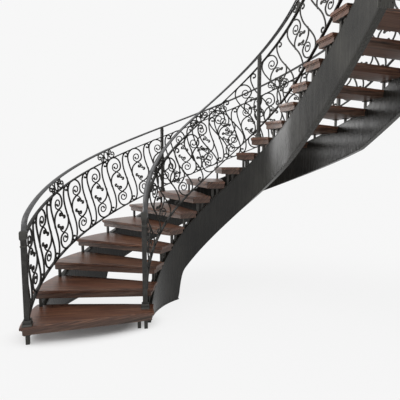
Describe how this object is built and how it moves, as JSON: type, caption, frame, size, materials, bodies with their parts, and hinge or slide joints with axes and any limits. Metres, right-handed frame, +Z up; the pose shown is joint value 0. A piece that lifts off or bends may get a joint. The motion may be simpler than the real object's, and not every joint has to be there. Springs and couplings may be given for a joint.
{
  "type": "spiral staircase",
  "caption": "Curved staircase with box-section steel stringers, timber treads on short steel supports and scrolled wrought-iron railings on both sides.",
  "frame": {"origin": "on the underside of the inner stringer's foot plate, at floor level", "axes": "+Z up; seen from -Y looking along +Y the stair starts at the left and climbs to the right, clockwise seen from above"},
  "size_m": [4.1936, 2.7579, 4.4205],
  "materials": {
    "stringer_paint": "satin",
    "tread_wood": "satin",
    "railing_iron": "satin"
  },
  "bodies": {
    "root": {"foot_plate_inner": "stringer_paint", "foot_plate_outer": "stringer_paint", "stringer_inner": "stringer_paint", "stringer_outer": "stringer_paint", "head_plate_inner": "stringer_paint", "head_plate_outer": "stringer_paint", "tread_01": "tread_wood", "tread_02": "tread_wood", "tread_03": "tread_wood", "tread_04": "tread_wood", "tread_05": "tread_wood", "tread_06": "tread_wood", "tread_07": "tread_wood", "tread_08": "tread_wood", "tread_09": "tread_wood", "tread_10": "tread_wood", "tread_11": "tread_wood", "tread_12": "tread_wood", "tread_13": "tread_wood", "tread_14": "tread_wood", "tread_15": "tread_wood", "tread_16": "tread_wood", "tread_17": "tread_wood", "tread_18": "tread_wood", "tread_19": "tread_wood", "first_tread_legs": "stringer_paint", "pedestals_inner": "stringer_paint", "pedestals_outer": "stringer_paint", "posts_inner": "railing_iron", "posts_outer": "railing_iron", "handrail_inner": "railing_iron", "handrail_outer": "railing_iron", "second_rail_inner": "railing_iron", "second_rail_outer": "railing_iron", "bottom_rail_inner": "railing_iron", "bottom_rail_outer": "railing_iron", "scrolls_inner_lower": "railing_iron", "scrolls_inner_upper": "railing_iron", "scrolls_outer_lower": "railing_iron", "scrolls_outer_middle": "railing_iron", "scrolls_outer_upper": "railing_iron", "frieze_inner": "railing_iron", "frieze_outer": "railing_iron"}
  },
  "joints": []
}
